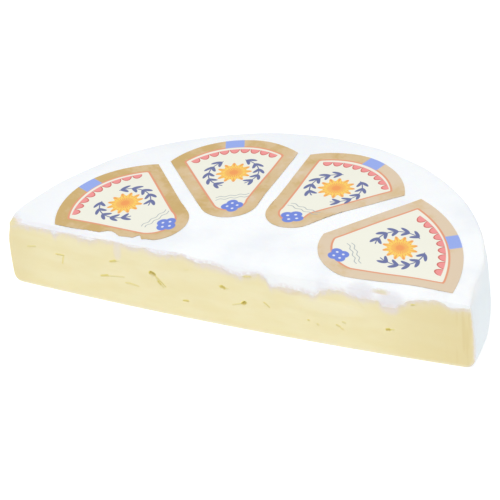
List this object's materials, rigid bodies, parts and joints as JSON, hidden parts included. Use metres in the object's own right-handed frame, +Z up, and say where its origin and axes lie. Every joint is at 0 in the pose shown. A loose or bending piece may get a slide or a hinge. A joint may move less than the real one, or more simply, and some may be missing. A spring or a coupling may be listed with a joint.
{
  "type": "half wheel of soft white-rind cheese",
  "caption": "Low half-round block of soft cheese with a white bloomy rind, a pale cream cut face with small eyes, and fan-shaped paper labels on top.",
  "frame": {"origin": "middle of the half wheel's box, on the surface it rests on", "axes": "+X along the cut face to the right as seen from in front of it, +Y from the cut face to the round rim, +Z up"},
  "size_m": [0.26, 0.1337, 0.0389],
  "materials": {
    "cheese": "white velvety rind with a smooth, slightly moist cream cut face",
    "label": "thin printed paper, satin"
  },
  "bodies": {
    "root": {"cheese": "cheese", "label_1": "label", "label_2": "label", "label_3": "label", "label_4": "label"}
  },
  "joints": []
}
